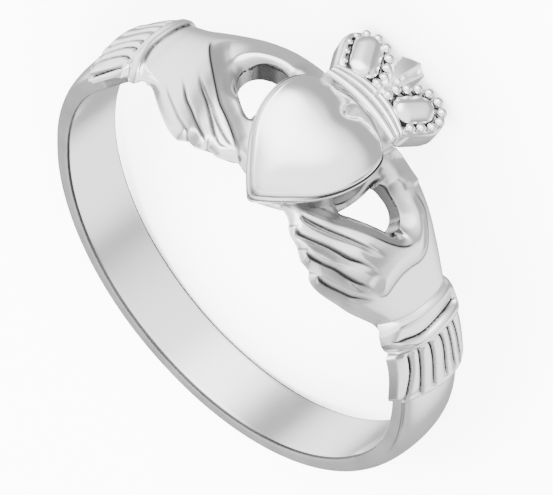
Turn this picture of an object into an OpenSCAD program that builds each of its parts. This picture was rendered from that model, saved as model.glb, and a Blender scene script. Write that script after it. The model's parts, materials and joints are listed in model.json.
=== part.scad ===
// Claddagh ring: two hands with pleated cuffs hold a heart with a crown above it.
// The ring is one casting. It lies on its side, on the crown and on the back of the band.
// Inside the file the ring is built round the finger axis: x runs from hand to hand, y runs
// along the finger towards the crown, and z points from the finger out through the heart.
// A place on the head is given by its angle from the middle of the heart, its distance
// across the band (y) and its distance from the finger axis.

/* [Finger hole] */
// Inner diameter of the ring
finger_hole_d = 17.3; // [15:0.1:21]

/* [Band] */
// Width of the band at its back
band_w = 2.66; // [2.2:0.02:3.4]
// Width of the band where it runs into a cuff
band_cuff_w = 3.4; // [3:0.05:4]
// Thickness of the band along its middle
band_t = 0.95; // [0.8:0.05:1.4]
// Thickness of the band at its side edges
band_edge_t = 0.45; // [0.35:0.05:0.7]

/* [Head] */
// Distance of the hands' underside from the finger, where the head is hollowed
hollow_depth = 1.2; // [0.6:0.05:1.4]
// Thickness of the hands beside the heart
hand_t = 1.45; // [1.1:0.05:1.8]
// Length of one side from the middle of the heart to the wrist, round the band
wrist_reach = 7.9; // [7:0.1:8.8]
// Width of the hand at its fingertips
hand_w = 6.2; // [5.6:0.1:6.8]
// How far the hand lies off the middle of the band, towards the heart's tip
hand_shift = 1.55; // [1:0.05:2]
// Width of the wrist
wrist_w = 3.5; // [3.2:0.1:3.8]
// How far wrist and cuff lie off the middle of the band
wrist_shift = 0.95; // [0.7:0.05:1.2]
// Height of the fingers over the back of the hand
finger_h = 0.2; // [0.1:0.02:0.3]
// Width of one finger
finger_w = 0.54; // [0.45:0.01:0.62]

/* [Cuffs] */
// Width of the narrow collar roll, beside the wrist
narrow_roll_w = 0.5; // [0.3:0.05:0.7]
// Width of the wide collar roll, beside the pleats
wide_roll_w = 0.95; // [0.7:0.05:1.2]
// Height of the collar rolls over the wrist
roll_h = 0.26; // [0.15:0.02:0.36]
// Length of the pleated frill
pleat_len = 3.95; // [3.2:0.05:4.4]
// Height of the pleats over the band at the frill's end
pleat_h = 0.6; // [0.45:0.05:0.75]
// Depth of the grooves between the pleats
pleat_groove = 0.12; // [0.05:0.01:0.2]
// Number of pleats
pleats = 8; // [6:1:10]

/* [Heart] */
// Width of the heart
heart_w = 4.7; // [4.2:0.05:5.2]
// Length of the heart from its tip to the top of its lobes
heart_len = 5.4; // [4.9:0.05:5.9]
// Distance of the heart's tip from the middle of the band
heart_tip_y = 5; // [4.7:0.05:5.3]
// Height of the heart's rim over the hands
heart_h = 1.25; // [0.9:0.05:1.5]
// Height of the heart's domed face over its rim
heart_dome = 0.35; // [0.15:0.05:0.5]
// How far the heart's tip bends down towards the finger
heart_bend = 1.14; // [0.7:0.02:1.4]

/* [Crown] */
// Width of the crown's foot
crown_foot_w = 3.55; // [3.2:0.05:4]
// Distance of the crown's foot from the middle of the band
crown_y = 0.75; // [0.6:0.05:0.9]
// Height of the foot, which is made of three rolls
crown_foot_h = 0.8; // [0.6:0.05:0.95]
// Thickness of the crown
crown_t = 1.2; // [1:0.05:1.4]
// Height of the crown over the hands
crown_rise = 0.05; // [-0.2:0.05:0.3]
// Backward lean of the crown, in degrees
crown_lean = 11; // [6:1:16]
// Length of the smooth oval in each leaf
oval_len = 1.8; // [1.5:0.05:2]
// Width of the smooth oval in each leaf
oval_w = 0.95; // [0.8:0.05:1.1]
// Diameter of the beads round each oval
bead_d = 0.34; // [0.28:0.01:0.38]
// Number of beads round each oval
beads = 15; // [12:1:15]
// Sideways lean of each leaf, in degrees
leaf_lean = 29; // [24:1:33]
// Length of the middle leaf
middle_leaf_len = 2.45; // [2.1:0.05:2.7]
// Width of the middle leaf at its top
middle_leaf_w = 1.2; // [1:0.05:1.3]

/* [Hidden] */
$fn = 64;

bore_r = finger_hole_d / 2;
hollow_r = bore_r + hollow_depth;
hand_r = hollow_r + hand_t;
sink = 0.3;
deg_per_mm = 180 / (PI * hand_r);

// Angles of the seams round the band, from the middle of the heart
wrist_end = wrist_reach * deg_per_mm;
narrow_roll_end = wrist_end + narrow_roll_w * deg_per_mm;
wide_roll_end = narrow_roll_end + wide_roll_w * deg_per_mm;
pleat_end = wide_roll_end + pleat_len * deg_per_mm;

function mix(a, b, share) = a + (b - a) * share;
function clamp01(x) = max(0, min(1, x));
function ease(x) = let(c = clamp01(x)) c * c * (3 - 2 * c);
function spot(angle, across, radius) = [radius * sin(angle), across, radius * cos(angle)];

// Value of one column of a table at x, on straight lines between its rows.
function column(table, x, col) =
    let(last = len(table) - 1)
    x <= table[0][0] ? table[0][col] :
    x >= table[last][0] ? table[last][col] :
    let(i = max([for (k = [0:last - 1]) if (table[k][0] <= x) k]),
        share = (x - table[i][0]) / (table[i + 1][0] - table[i][0]))
    mix(table[i][col], table[i + 1][col], share);

// Closed smooth curve through a loop of points, with a number of steps between two points.
function curve_point(p0, p1, p2, p3, u) =
    0.5 * (2 * p1 + (p2 - p0) * u + (2 * p0 - 5 * p1 + 4 * p2 - p3) * u * u
        + (3 * p1 - p0 - 3 * p2 + p3) * u * u * u);
function closed_curve(loop, steps) =
    let(n = len(loop))
    [for (i = [0:n - 1], k = [0:steps - 1])
        curve_point(loop[(i + n - 1) % n], loop[i], loop[(i + 1) % n], loop[(i + 2) % n], k / steps)];

// Solid skinned over a row of loops that have the same number of points. Seen from beyond the
// last loop, the points run anticlockwise.
module skin(loops) {
    n = len(loops[0]);
    rows = len(loops);
    polyhedron(
        points = [for (loop = loops) each loop],
        faces = concat(
            [[for (i = [0:n - 1]) i]],
            [for (r = [0:rows - 2], i = [0:n - 1])
                let(a = r * n + i, b = r * n + (i + 1) % n, c = b + n, d = a + n)
                each [[a, d, c], [a, c, b]]],
            [[for (i = [n - 1:-1:0]) (rows - 1) * n + i]]));
}

// The plain band, from under one hand round the back to the other.
// Columns: share of the way from the hollow's edge to the back, width as a share of the way from
// the back's width to the cuff's, height of the inner side as a share of the hollow's depth,
// sideways shift as a share of the wrist's.
band_rows = [
    [0.00, 1.00, 1.0, 0.40],
    [0.03, 1.00, 0.0, 0.40],
    [0.20, 1.00, 0.0, 0.30],
    [0.28, 0.80, 0.0, 0.15],
    [0.38, 0.45, 0.0, 0.05],
    [0.50, 0.15, 0.0, 0.00],
    [1.00, 0.00, 0.0, 0.00]
];
// The band starts this many degrees before the wrist ends
band_overlap = 6;
band_start = wrist_end - band_overlap;
band_side_steps = 14;
band_top_steps = 8;
// How fast the band's top falls to its side edges
band_dome_power = 2.2;
least_wall = 0.05;

function band_loop(share, angle) =
    let(half = mix(band_w, band_cuff_w, column(band_rows, share, 1)) / 2,
        inner = bore_r - sink + column(band_rows, share, 2) * (hollow_depth + sink / 2),
        middle = -wrist_shift * column(band_rows, share, 3),
        edge = bore_r + band_edge_t,
        crest = band_t - band_edge_t,
        foot = min(inner, edge - least_wall))
    concat(
        [spot(angle, middle - half, foot)],
        [for (k = [0:band_top_steps])
            let(x = 2 * k / band_top_steps - 1,
                dome = sqrt(max(0, 1 - pow(abs(x), band_dome_power))))
            spot(angle, middle + half * x, max(edge + crest * dome, inner + least_wall))],
        [spot(angle, middle + half, foot)]);

module band() {
    color("silver")
    skin([for (k = [0:2 * band_side_steps])
        let(along = k / band_side_steps,
            share = along <= 1 ? along : 2 - along,
            angle = mix(360 - band_start, band_start, k / (2 * band_side_steps)))
        band_loop(share, angle)]);
}

// One hand with its wrist, collar rolls and pleated cuff, as a relief over the band.
// Columns: share of the way from the heart to the wrist, near edge as a share of the way
// from the wrist's edge (0) to the fingertips' edge (1), far edge in the same way, height of
// the near edge, of the middle and of the far edge as shares of the hand's thickness.
hand_rows = [
    [0.10, 0.35, 0.50, 0.80, 0.88, 0.50],
    [0.18, 0.72, 0.80, 0.90, 0.90, 0.52],
    [0.26, 0.90, 1.00, 0.92, 0.93, 0.54],
    [0.36, 0.98, 1.00, 0.88, 0.94, 0.50],
    [0.48, 0.99, 0.95, 0.72, 0.94, 0.44],
    [0.62, 0.88, 0.72, 0.48, 0.86, 0.36],
    [0.76, 0.58, 0.40, 0.32, 0.70, 0.26],
    [0.90, 0.20, 0.15, 0.22, 0.48, 0.16],
    [1.00, 0.00, 0.00, 0.18, 0.36, 0.10]
];
wrist_row = hand_rows[len(hand_rows) - 1];
heart_side = hand_rows[0][0];

wrist_near = -wrist_shift - wrist_w / 2;
wrist_far = -wrist_shift + wrist_w / 2;
tips_near = -hand_shift - hand_w / 2;
tips_far = -hand_shift + hand_w / 2;

function smooth_column(x, col) =
    (column(hand_rows, x - 0.03, col) + column(hand_rows, x, col) + column(hand_rows, x + 0.03, col)) / 3;
function near_edge(share) = mix(wrist_near, tips_near, smooth_column(share, 1));
function far_edge(share) = mix(wrist_far, tips_far, smooth_column(share, 2));
function arch(near, middle, far, x) =
    x < 0.5 ? mix(middle, near, pow(1 - 2 * x, 2)) : mix(middle, far, pow(2 * x - 1, 2.6));
function hand_height(share, x) =
    hollow_r + hand_t * arch(smooth_column(share, 3), smooth_column(share, 4), smooth_column(share, 5), x);

// Collar rolls and pleats are raised on the wrist's section, which the frill brings down.
cuff_r = hollow_r + hand_t * wrist_row[4] + 0.1;
cuff_drop = cuff_r - (bore_r + band_t + pleat_h);
narrow_roll_share = 0.45;
function roll_profile(angle, from, to) = pow(max(0, sin(180 * clamp01((angle - from) / (to - from)))), 0.5);
function cuff_height(angle, x) =
    let(near = hollow_r + hand_t * wrist_row[3] + 0.05,
        far = hollow_r + hand_t * wrist_row[5] + 0.05,
        roll = max(narrow_roll_share * roll_profile(angle, wrist_end, narrow_roll_end),
            roll_profile(angle, narrow_roll_end, wide_roll_end)),
        flare = clamp01((angle - wide_roll_end) / (pleat_end - wide_roll_end)),
        pleated = angle > wide_roll_end ? 1 : 0)
    arch(near, cuff_r, far, x) + roll_h * roll - cuff_drop * flare
        - pleated * pleat_groove * (1 - abs(sin(180 * pleats * x)));
function cuff_edge(angle, side) =
    let(roll = angle < wide_roll_end ? 0.1 : 0)
    side < 0 ? wrist_near - roll : wrist_far + roll;

// The relief's side edges are rounded over, and its underside lies further in.
edge_round = 0.5;
edge_fall = 0.22;
near_inset = 0.65;
far_inset = 0.3;
cuff_under_r = bore_r + band_edge_t + 0.2;
function edge_drop(distance, depth) =
    distance >= edge_round ? 0 : depth * (1 - sqrt(1 - pow(1 - max(distance, 0) / edge_round, 2)));

// Three points a pleat, so that every groove falls on a point
across_steps = 3 * pleats;
// Angles of the cross-sections: close together over the collar rolls
hand_angles = [for (k = [0:16]) mix(heart_side, 1, k / 16) * wrist_end];
roll_angles = concat(
    [for (k = [0:4]) mix(wrist_end, narrow_roll_end, max(k, 0.2) / 4)],
    [for (k = [1:5]) mix(narrow_roll_end, wide_roll_end, k / 5)]);
pleat_angles = [for (k = [0:4]) mix(wide_roll_end, pleat_end, max(k, 0.1) / 4)];
relief_angles = concat(hand_angles, roll_angles, pleat_angles);

function relief_loop(angle) =
    let(share = angle / wrist_end,
        on_hand = share <= 1,
        near = on_hand ? near_edge(share) : cuff_edge(angle, -1),
        far = on_hand ? far_edge(share) : cuff_edge(angle, 1),
        under = mix(hollow_r, cuff_under_r, ease((share - 0.72) / 0.25)))
    concat(
        [for (k = [0:across_steps])
            let(x = k / across_steps,
                across = mix(near, far, x),
                top = on_hand ? hand_height(share, x) : cuff_height(angle, x),
                drop = edge_drop(min(across - near, far - across), edge_fall * (top - under)))
            spot(angle, across, top - drop)],
        [spot(angle, far - far_inset, under), spot(angle, near + near_inset, under)]);

module hand_and_cuff() {
    color("silver")
    skin([for (k = [len(relief_angles) - 1:-1:0]) relief_loop(relief_angles[k])]);
}

// Four fingers lie side by side on the hand, from the knuckles to the near edge. Their slope
// and their places are taken on the hand laid flat.
finger_slope = 32;
first_groove = 4.25;
finger_overlap = 0.03;
// Columns: share of the finger's length, share of its height, share of its width, depth of
// its underside below the hand's surface
finger_rows = [
    [0.00, 0.15, 0.70, 0.4], [0.20, 0.75, 0.95, 0.5], [0.50, 1.00, 1.00, 0.5],
    [0.80, 1.05, 1.00, 0.4], [0.94, 0.85, 0.85, 0.3], [1.00, 0.30, 0.60, 0.2]
];
// Share of the way to the wrist where each finger starts, from the heart's side down
knuckle_shares = [0.5, 0.58, 0.64, 0.68];
// Share of the way to the wrist where each finger ends
fingertip_shares = [0.15, 0.21, 0.27, 0.37];
finger_section_steps = 5;

// Place on the hand, from distances along and across the flat, raised over the hand.
function on_hand(along, across, raise) =
    let(share = along / wrist_reach,
        near = near_edge(share),
        far = far_edge(share),
        x = clamp01((across - near) / (far - near)))
    spot(share * wrist_end, across, hand_height(share, x) + raise);

function finger_loop(number, row) =
    let(down = first_groove + (number - 0.5) * finger_w,
        along = mix(knuckle_shares[number], fingertip_shares[number], row[0]) * wrist_reach,
        across = (along * sin(finger_slope) - down) / cos(finger_slope),
        half = (finger_w / 2 + finger_overlap) * row[2])
    concat(
        [for (k = [0:finger_section_steps])
            let(turn = 180 * k / finger_section_steps,
                off = half * cos(turn))
            on_hand(along + off * sin(finger_slope), across - off * cos(finger_slope),
                finger_h * (row[1] * sin(turn) - 0.25))],
        [for (side = [-1, 1])
            on_hand(along + side * half * sin(finger_slope) * 0.8,
                across - side * half * cos(finger_slope) * 0.8, -row[3])]);

module fingers() {
    color("silver")
    for (number = [0:len(knuckle_shares) - 1])
        skin([for (row = finger_rows) finger_loop(number, row)]);
}

// The heart: a domed face over a rim, on a foot that narrows towards the finger.
// Columns: half width and distance from the tip, as shares of the heart's width and length.
heart_half = [
    [0.00, 0.000], [0.21, 0.085], [0.37, 0.225], [0.46, 0.390], [0.50, 0.570],
    [0.49, 0.740], [0.42, 0.890], [0.29, 0.985], [0.14, 0.960]
];
heart_notch = 0.885;
heart_loop = concat(
    [for (row = heart_half) [row[0] * heart_w, row[1] * heart_len - heart_tip_y]],
    [[0, heart_notch * heart_len - heart_tip_y]],
    [for (k = [len(heart_half) - 1:-1:1])
        [-heart_half[k][0] * heart_w, heart_half[k][1] * heart_len - heart_tip_y]]);
heart_middle = heart_len * 0.6 - heart_tip_y;
heart_lobes = heart_len * 0.9 - heart_tip_y;
heart_high_y = heart_len * 0.63 - heart_tip_y;
heart_rim_r = hand_r + heart_h;

function heart_rim_height(y) =
    heart_rim_r - heart_bend * pow((y - heart_high_y) / (heart_high_y + heart_tip_y), 2);
// A ring of the face narrows about the heart's middle; one of the foot narrows from the tip.
function face_ring(size, dome_share) =
    [for (p = closed_curve(heart_loop, 3))
        let(y = mix(heart_middle, p[1], size))
        [p[0] * size, y, heart_rim_height(y) + heart_dome * dome_share]];
function foot_ring(long, height) =
    [for (p = closed_curve(heart_loop, 3)) [p[0], mix(heart_lobes, p[1], long), height]];

module heart() {
    color("silver")
    skin([
        foot_ring(0.84, hollow_r + 0.02),
        foot_ring(0.93, hand_r - 0.5),
        face_ring(1, -0.25),
        face_ring(0.985, 0),
        face_ring(0.86, 0.5),
        face_ring(0.62, 0.85),
        face_ring(0.3, 1)]);
}

// The two gaps between a hand and the heart.
// Columns: angle as a share of the way from the heart to the wrist, distance across the band
// from the middle as a share of the hand's width.
gap_rows = [
    [0.30, -0.375], [0.40, -0.345], [0.49, -0.265], [0.555, -0.180], [0.580, -0.085],
    [0.555, -0.005], [0.49, 0.045], [0.40, 0.065], [0.32, 0.030], [0.285, -0.150]
];
gap_angle = 0.45 * wrist_end;

module gap() {
    loop = [for (row = gap_rows)
        [(hand_r - hand_t / 2) * sin(row[0] * wrist_end - gap_angle), row[1] * hand_w]];
    rotate([0, gap_angle, 0])
    translate([0, 0, hollow_r - 1])
    linear_extrude(height = hand_t + 2)
    polygon(closed_curve(loop, 3));
}

// The crown stands beyond the heart on a foot of three rolls. Its local frame has its origin
// at the middle of the foot's lower edge, on the crown's face.
foot_roll_r = crown_foot_h / 5;
leaf_root = [crown_foot_w * 0.2, crown_foot_h];
ring_gap = bead_d * 0.85;
leaf_margin = bead_d * 0.65;
leaf_len = oval_len + 2 * ring_gap + 2 * leaf_margin;
leaf_w = oval_w + 2 * ring_gap + 2 * leaf_margin;
leaf_middle = leaf_len / 2 - 0.2;
leaf_sink = 0.1;
crown_face_r = hand_r + crown_rise;

module oval(length, width) {
    translate([0, (length - width) / 2]) circle(d = width);
    translate([0, (width - length) / 2]) circle(d = width);
    square([width, length - width], center = true);
}

module at_leaf(side) {
    translate([side * leaf_root[0], leaf_root[1]])
    rotate([0, 0, -side * leaf_lean])
    translate([0, leaf_middle])
    children();
}

// Place on the rounded loop that the beads follow, at a share of its length.
function bead_spot(share) =
    let(w = oval_w / 2 + ring_gap,
        straight = oval_len - oval_w,
        arc = PI * w,
        total = 2 * straight + 2 * arc,
        d = share * total)
    d < straight ? [w, d - straight / 2] :
    d < straight + arc ? [w * cos((d - straight) / w * 180 / PI), straight / 2 + w * sin((d - straight) / w * 180 / PI)] :
    d < 2 * straight + arc ? [-w, straight / 2 - (d - straight - arc)] :
    let(turn = (d - 2 * straight - arc) / w * 180 / PI) [-w * cos(turn), -straight / 2 - w * sin(turn)];

module leaf(side) {
    at_leaf(side) {
        translate([0, 0, -crown_t])
        linear_extrude(height = crown_t - leaf_sink)
        oval(leaf_len, leaf_w);
        translate([0, 0, -crown_t / 2])
        linear_extrude(height = crown_t / 2 + 0.12)
        oval(oval_len, oval_w);
        for (k = [0:beads - 1]) {
            place = bead_spot(k / beads);
            translate([place[0], place[1], -0.06]) sphere(d = bead_d, $fn = 16);
        }
    }
}

// The middle leaf is a folded leaf with a ridge, widening to a straight top.
middle_leaf_top = crown_foot_h + middle_leaf_len;
middle_leaf_ridge = 0.45;
module middle_leaf() {
    back = -crown_t * 0.8;
    foot_y = crown_foot_h * 0.6;
    foot_half = 0.14;
    half = middle_leaf_w / 2;
    skin([
        [[-half * 0.8, middle_leaf_top, back], [half * 0.8, middle_leaf_top, back],
            [half, middle_leaf_top - 0.1, 0.12], [0, middle_leaf_top, middle_leaf_ridge],
            [-half, middle_leaf_top - 0.1, 0.12]],
        [[-foot_half, foot_y, back], [foot_half, foot_y, back],
            [foot_half, foot_y, 0], [0, foot_y, 0.1], [-foot_half, foot_y, 0]]]);
}

module crown_foot() {
    translate([-crown_foot_w / 2, 0, -crown_t])
    cube([crown_foot_w, crown_foot_h * 0.96, crown_t - 0.05]);
    for (k = [0:2])
        translate([-crown_foot_w / 2, crown_foot_h * (0.2 + 0.3 * k), -0.06])
        rotate([0, 90, 0])
        cylinder(r = foot_roll_r, h = crown_foot_w, $fn = 16);
    // Bridge from the foot to the heart and the thumbs
    translate([-crown_foot_w * 0.45, -crown_y - 0.6, -crown_t * 0.95])
    cube([crown_foot_w * 0.9, crown_y + 0.7, crown_t * 0.6]);
}

module crown() {
    color("silver")
    translate([0, crown_y, crown_face_r])
    rotate([-crown_lean, 0, 0]) {
        crown_foot();
        leaf(1);
        leaf(-1);
        middle_leaf();
    }
}

// Rest on the side: the crown and the far edge of the band's back touch the surface. Of the
// leaves, the one that reaches lowest counts. A place is [distance across, distance out].
function on_crown(y, z) =
    [crown_y + y * cos(crown_lean) + z * sin(crown_lean), crown_face_r - y * sin(crown_lean) + z * cos(crown_lean)];
crown_tops = [
    on_crown(leaf_root[1] + (leaf_middle + (leaf_len - leaf_w) / 2) * cos(leaf_lean) + leaf_w / 2, -leaf_sink),
    on_crown(middle_leaf_top, middle_leaf_ridge)
];
back_y = band_w / 2;
back_r = bore_r + band_edge_t;
rest_tilt = max([for (top = crown_tops) atan2(top[0] - back_y, top[1] + back_r)]);
rest_height = back_y * cos(rest_tilt) + back_r * sin(rest_tilt);
front_reach = (heart_rim_r + heart_dome) * cos(rest_tilt) + heart_high_y * sin(rest_tilt);
back_reach = (bore_r + band_t) * cos(rest_tilt);
middle_reach = (front_reach - back_reach) / 2;

module ring() {
    translate([0, middle_reach, rest_height])
    rotate([-rest_tilt, 0, 0])
    rotate([0, 0, 180])
    rotate([-90, 0, 0])
    difference() {
        union() {
            difference() {
                union() {
                    band();
                    for (side = [0, 1])
                        mirror([side, 0, 0]) {
                            hand_and_cuff();
                            fingers();
                        }
                }
                gap();
                mirror([1, 0, 0]) gap();
            }
            heart();
            crown();
        }
        rotate([90, 0, 0])
        cylinder(r = bore_r, h = 30, center = true, $fn = 180);
    }
}

ring();
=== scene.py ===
"""A polished silver claddagh ring, lying on its side on a pale studio floor.

Every piece is shaped in millimetres round the finger axis. There x runs from hand to hand, y runs
along the finger from the heart's tip to the crown, and z points from the finger out through the
heart. Hands and cuffs are drawn on the head laid flat: along the band from the middle of the
heart, and across it, with the height as a distance from the finger axis.
"""
import json
import math

import bmesh
import bpy
import numpy as np
from mathutils import Matrix, Vector


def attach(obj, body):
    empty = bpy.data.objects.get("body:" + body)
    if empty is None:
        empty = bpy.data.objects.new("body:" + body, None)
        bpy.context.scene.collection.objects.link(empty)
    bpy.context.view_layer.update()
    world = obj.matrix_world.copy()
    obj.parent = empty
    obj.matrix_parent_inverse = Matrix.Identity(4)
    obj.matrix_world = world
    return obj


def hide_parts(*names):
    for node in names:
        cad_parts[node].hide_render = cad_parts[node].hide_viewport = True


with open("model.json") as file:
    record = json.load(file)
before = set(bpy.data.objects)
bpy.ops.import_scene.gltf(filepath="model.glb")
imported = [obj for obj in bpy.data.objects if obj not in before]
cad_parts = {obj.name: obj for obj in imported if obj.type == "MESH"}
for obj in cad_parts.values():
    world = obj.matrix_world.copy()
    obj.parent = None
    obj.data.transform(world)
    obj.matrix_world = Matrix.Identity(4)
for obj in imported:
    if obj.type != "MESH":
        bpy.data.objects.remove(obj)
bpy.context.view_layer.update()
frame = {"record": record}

# The ring's own frame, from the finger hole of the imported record

MM = 0.001
finger_hole = next(m for m in frame["record"]["mounts"] if m["name"] == "finger_hole")
hole_axis = Vector(finger_hole["axis"]).normalized()
bore_r = finger_hole["dims"]["r_mm"]


def ring_frame():
    """Matrix that takes millimetres round the finger axis to the ring as it lies."""
    side_axis = Vector((-1, 0, 0))
    crown_axis = -hole_axis
    heart_axis = side_axis.cross(crown_axis)
    turn = Matrix((side_axis, crown_axis, heart_axis)).transposed().to_4x4()
    return Matrix.Translation(finger_hole["pos_m"]) @ turn @ Matrix.Scale(MM, 4)


RING = ring_frame()

# Sizes in millimetres

hand_r = 11.3
hollow_r = 9.85
hand_t = hand_r - hollow_r
wrist_reach = 7.9

band_w = 2.66
band_t = 0.95
band_edge_t = 0.52

wrist_near, wrist_far = -2.7, 0.8
tips_near, tips_far = -4.65, 1.55

frill_end = 12.35

crown_y = 0.51
crown_face_r = 11.74
crown_t = 1.2
crown_lean = 11
foot_half = 1.8
oval_len = {1: 1.78, -1: 2.05}
oval_w = 1.24
oval_shift = {1: 0.0, -1: 0.12}
ring_len = 2.35
ring_gap = 0.25
bead_d = 0.41
beads_round = 14
leaf_lean = 29
leaf_middle = (1.30, 2.17)
middle_leaf_root, middle_leaf_top = 1.05, 3.53
# Margin of a leaf past its beads' middles, on both sides together
leaf_margin = 0.42
neck_r = 11.66


# Helpers

def ease(x):
    """Smooth step from 0 to 1."""
    c = np.clip(x, 0, 1)
    return c * c * (3 - 2 * c)


def smooth_line(points, steps=8):
    """Smooth curve through a few points."""
    p = np.array(points, dtype=float)
    p = np.vstack([2 * p[0] - p[1], p, 2 * p[-1] - p[-2]])
    out = []
    for i in range(1, len(p) - 2):
        for u in np.arange(steps) / steps:
            out.append(0.5 * (2 * p[i] + (p[i + 1] - p[i - 1]) * u
                              + (2 * p[i - 1] - 5 * p[i] + 4 * p[i + 1] - p[i + 2]) * u ** 2
                              + (3 * p[i] - p[i - 1] - 3 * p[i + 1] + p[i + 2]) * u ** 3))
    out.append(p[-2])
    return np.array(out)


def smooth_loop(points, steps=8):
    """Smooth closed curve through a few points."""
    p = np.array(points, dtype=float)
    long = np.vstack([p[-2:], p, p[:3]])
    curve = smooth_line(long, steps)
    return curve[2 * steps:(2 + len(p)) * steps]


def nearest(along, across, line):
    """Distance to a line, which side of it a place is on, and the share of its length there."""
    a, b = line[:-1], line[1:]
    step = b - a
    length = np.hypot(step[:, 0], step[:, 1])
    start = np.concatenate([[0], np.cumsum(length)])
    best = np.full(along.shape, 1e9)
    side = np.zeros(along.shape)
    share = np.zeros(along.shape)
    for i in range(len(a)):
        x, y = along - a[i, 0], across - a[i, 1]
        t = np.clip((x * step[i, 0] + y * step[i, 1]) / length[i] ** 2, 0, 1)
        d = np.hypot(x - t * step[i, 0], y - t * step[i, 1])
        closer = d < best
        best = np.where(closer, d, best)
        side = np.where(closer, np.sign(step[i, 0] * y - step[i, 1] * x), side)
        share = np.where(closer, (start[i] + t * length[i]) / start[-1], share)
    return best, side, share


def within(along, across, loop):
    """Whether a place lies inside a closed loop."""
    inside = np.zeros(along.shape, dtype=bool)
    for (x0, y0), (x1, y1) in zip(loop, np.roll(loop, -1, axis=0)):
        crosses = (y0 > across) != (y1 > across)
        rise = np.where(y1 == y0, 1e-9, y1 - y0)
        inside ^= crosses & (along < (x1 - x0) * (across - y0) / rise + x0)
    return inside


def evenly(line, count):
    """Places at even distances along a line."""
    start = np.concatenate([[0], np.cumsum(np.hypot(*np.diff(line, axis=0).T))])
    at = np.linspace(0, start[-1], count)
    return np.stack([np.interp(at, start, line[:, 0]), np.interp(at, start, line[:, 1])], -1)


def cusp(share):
    """Section of the crease between two round rolls: 1 in the crease, 0 from the crest on."""
    s = np.clip(share, 0, 1)
    return 1 - np.sqrt(1 - (1 - s) ** 2)


def painted_line_shade(distance, width):
    """Painted shade of a line: black in its middle, with a narrow soft edge."""
    return np.clip(1.7 * np.exp(-(distance / width) ** 2), 0, 1)


def round_over(distance, radius):
    """How far a rounded edge has dropped at a distance in from the edge."""
    d = np.clip(distance, 0, radius)
    return radius - np.sqrt(np.maximum(radius ** 2 - (radius - d) ** 2, 0))


def on_ring(along, across, radius, side=1):
    """Places round the finger axis of places on the head laid flat."""
    angle = side * along / hand_r
    return np.stack([radius * np.sin(angle), across, radius * np.cos(angle)], axis=-1)


def place(verts, points):
    """Moves corners to points, in their order."""
    for vert, point in zip(verts, points):
        vert.co = point


def finish_piece(name, bm, sharp_deg=38):
    """Makes a piece of a mesh in ring millimetres: in its place, in silver, riding on the ring."""
    bmesh.ops.transform(bm, matrix=RING, verts=bm.verts)
    bmesh.ops.recalc_face_normals(bm, faces=bm.faces)
    mesh = bpy.data.meshes.new(name)
    bm.to_mesh(mesh)
    bm.free()
    mesh.shade_smooth()
    mesh.set_sharp_from_angle(angle=math.radians(sharp_deg))
    piece = bpy.data.objects.new(name, mesh)
    bpy.context.scene.collection.objects.link(piece)
    piece.data.materials.append(silver)
    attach(piece, "root")
    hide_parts("ring")


def rings_solid(rings):
    """Solid skinned over closed rings with the same number of points."""
    bm = bmesh.new()
    bm.verts.layers.float.new("crease")
    made = bmesh.ops.create_circle(bm, cap_ends=False, segments=len(rings[0]), radius=1)
    loop = list(made["verts"])
    place(loop, rings[0])
    first = list(loop)
    edges = list(bm.edges)
    for ring in rings[1:]:
        grown = bmesh.ops.extrude_edge_only(bm, edges=edges)
        fresh = [g for g in grown["geom"] if isinstance(g, bmesh.types.BMVert)]
        edges = [g for g in grown["geom"] if isinstance(g, bmesh.types.BMEdge)]
        # the new corners come in no fixed order, so each is matched to the one that it grew from
        before = {tuple(round(c, 6) for c in v.co): i for i, v in enumerate(loop)}
        placed = [None] * len(loop)
        for vert in fresh:
            placed[before[tuple(round(c, 6) for c in vert.co)]] = vert
        place(placed, ring)
        loop = placed
    bmesh.ops.contextual_create(bm, geom=loop)
    bmesh.ops.contextual_create(bm, geom=first)
    return bm


def at_height(outline, z):
    """Outline as a ring at one height."""
    return np.column_stack([outline, np.full(len(outline), z)])


# Silver

def add_sockets(group, way, names, kind="NodeSocketFloat"):
    """Gives a node group inputs or outputs of one kind."""
    for name in names:
        group.interface.new_socket(name, in_out=way, socket_type=kind)


def wear_group():
    """Fine marks of polishing: a slight unevenness of the gloss and a very low relief."""
    group = bpy.data.node_groups.new("polish_marks", "ShaderNodeTree")
    add_sockets(group, "INPUT", ["Low gloss", "High gloss"])
    add_sockets(group, "OUTPUT", ["Roughness", "Height"])
    nodes, links = group.nodes, group.links
    inside = nodes.new("NodeGroupInput")
    outside = nodes.new("NodeGroupOutput")
    where = nodes.new("ShaderNodeTexCoord")
    cloud = nodes.new("ShaderNodeTexNoise")
    cloud.inputs["Scale"].default_value = 700
    cloud.inputs["Detail"].default_value = 5
    links.new(where.outputs["Object"], cloud.inputs["Vector"])
    gloss = nodes.new("ShaderNodeMapRange")
    links.new(cloud.outputs["Fac"], gloss.inputs["Value"])
    gloss.inputs["From Min"].default_value = 0.3
    gloss.inputs["From Max"].default_value = 0.7
    links.new(inside.outputs["Low gloss"], gloss.inputs["To Min"])
    links.new(inside.outputs["High gloss"], gloss.inputs["To Max"])
    links.new(gloss.outputs["Result"], outside.inputs["Roughness"])
    fine = nodes.new("ShaderNodeTexNoise")
    fine.inputs["Scale"].default_value = 6000
    fine.inputs["Detail"].default_value = 3
    links.new(where.outputs["Object"], fine.inputs["Vector"])
    links.new(fine.outputs["Fac"], outside.inputs["Height"])
    return group


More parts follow.
